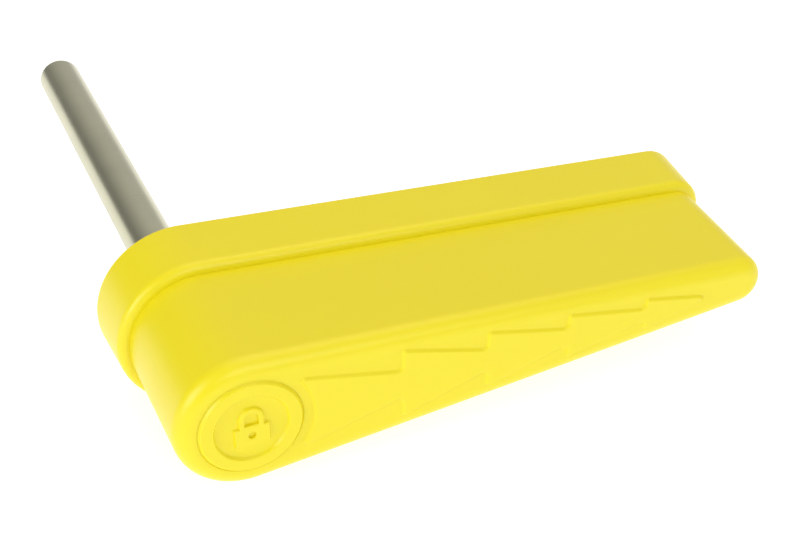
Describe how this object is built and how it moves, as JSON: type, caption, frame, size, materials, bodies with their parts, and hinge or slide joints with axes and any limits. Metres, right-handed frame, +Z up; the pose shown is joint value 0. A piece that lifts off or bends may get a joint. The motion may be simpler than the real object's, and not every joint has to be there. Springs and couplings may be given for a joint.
{
  "type": "trailer coupler lock",
  "caption": "Coupler latch lock: a hollow steel pin with a locking dog, square to a high-visibility lever-shaped body that holds a keyed cylinder under a dust cap.",
  "frame": {"origin": "pin axis where it meets the rear face of the body, the face that lies against the coupler", "axes": "+Y along the pin towards its free tip, +X from the pin towards the lever's tip, +Z up, opposite to the locking dog"},
  "size_m": [0.1249, 0.143, 0.0314],
  "materials": {
    "yellow_shell": "satin-gloss moulded high-visibility yellow polymer",
    "black_rubber": "matt nitrile rubber",
    "zinc_plated_steel": "zinc-plated sheet steel",
    "ground_steel": "centreless-ground stainless steel bar",
    "hardened_steel": "hardened and tempered tool steel",
    "spring_steel": "drawn spring steel wire and strip",
    "black_oxide_steel": "black-oxide screws",
    "cast_zinc": "die-cast zinc alloy",
    "brass": "turned brass",
    "bronze": "sintered bronze"
  },
  "bodies": {
    "lock_body": {"front_cover": "yellow_shell", "rear_cover": "yellow_shell", "cover_seal": "black_rubber", "backbone_plate": "zinc_plated_steel", "lock_pin": "ground_steel", "pin_dowel": "hardened_steel", "rod_bush": "bronze", "pin_end_plug": "ground_steel", "seat_washer": "black_rubber", "cylinder_housing": "cast_zinc", "stop_pin": "hardened_steel", "driver_pins": "brass", "driver_springs": "spring_steel", "spring_cover": "brass", "housing_screws": "black_oxide_steel", "cover_screws": "black_oxide_steel", "thread_inserts": "brass"},
    "key_plug": {"cylinder_plug": "brass", "key_pins": "brass", "plug_clip": "spring_steel", "drive_rod": "hardened_steel"},
    "dog": {"locking_dog": "hardened_steel"},
    "cap": {"dust_cap": "yellow_shell", "cap_seal": "black_rubber"}
  },
  "joints": [
    {"name": "key_turn", "type": "hinge", "parent": "lock_body", "child": "key_plug", "pos_m": [0, 0, 0], "axis": [0, 1, 0], "range_deg": [0, 90]},
    {"name": "dog_slide", "type": "slide", "parent": "lock_body", "child": "dog", "axis": [0, 0, -1], "range_m": [0, 0.0016]},
    {"name": "cap_pull", "type": "slide", "parent": "lock_body", "child": "cap", "axis": [0, -1, 0], "range_m": [0, 0.012]}
  ],
  "couplings": [
    {"joint": "dog_slide", "follows": "key_turn", "m_per_rad": 0.0010185}
  ]
}
